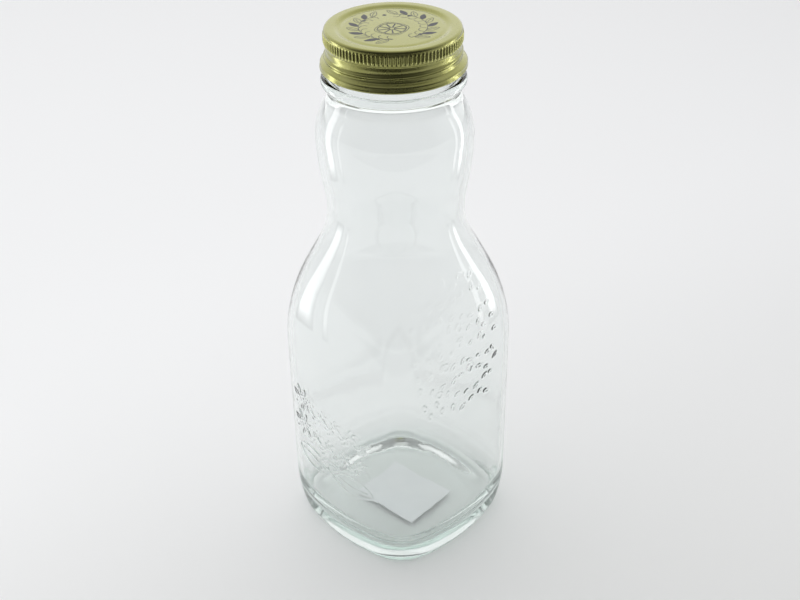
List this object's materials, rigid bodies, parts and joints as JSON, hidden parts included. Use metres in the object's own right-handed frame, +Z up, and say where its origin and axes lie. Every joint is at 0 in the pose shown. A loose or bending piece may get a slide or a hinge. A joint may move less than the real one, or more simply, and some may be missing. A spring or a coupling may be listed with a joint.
{
  "type": "glass juice bottle with screw lid",
  "caption": "Tall clear glass juice bottle with a rounded square body, long shoulder, narrow waist and swelling neck, closed by a knurled gold metal screw lid.",
  "frame": {"origin": "centre of the base on the surface that the bottle stands on", "axes": "+Z up along the bottle's axis; the faces of the body look along X and Y"},
  "size_m": [0.0996, 0.0996, 0.271],
  "materials": {
    "clear_glass": "clear, fire polished",
    "gold_tinplate": "satin gold lacquer on sheet steel",
    "seal_compound": "matt",
    "paper": "matt, slightly bluish white"
  },
  "bodies": {
    "root": {"bottle": "clear_glass", "lid": "gold_tinplate", "lid_liner": "seal_compound", "base_sticker": "paper"}
  },
  "joints": []
}
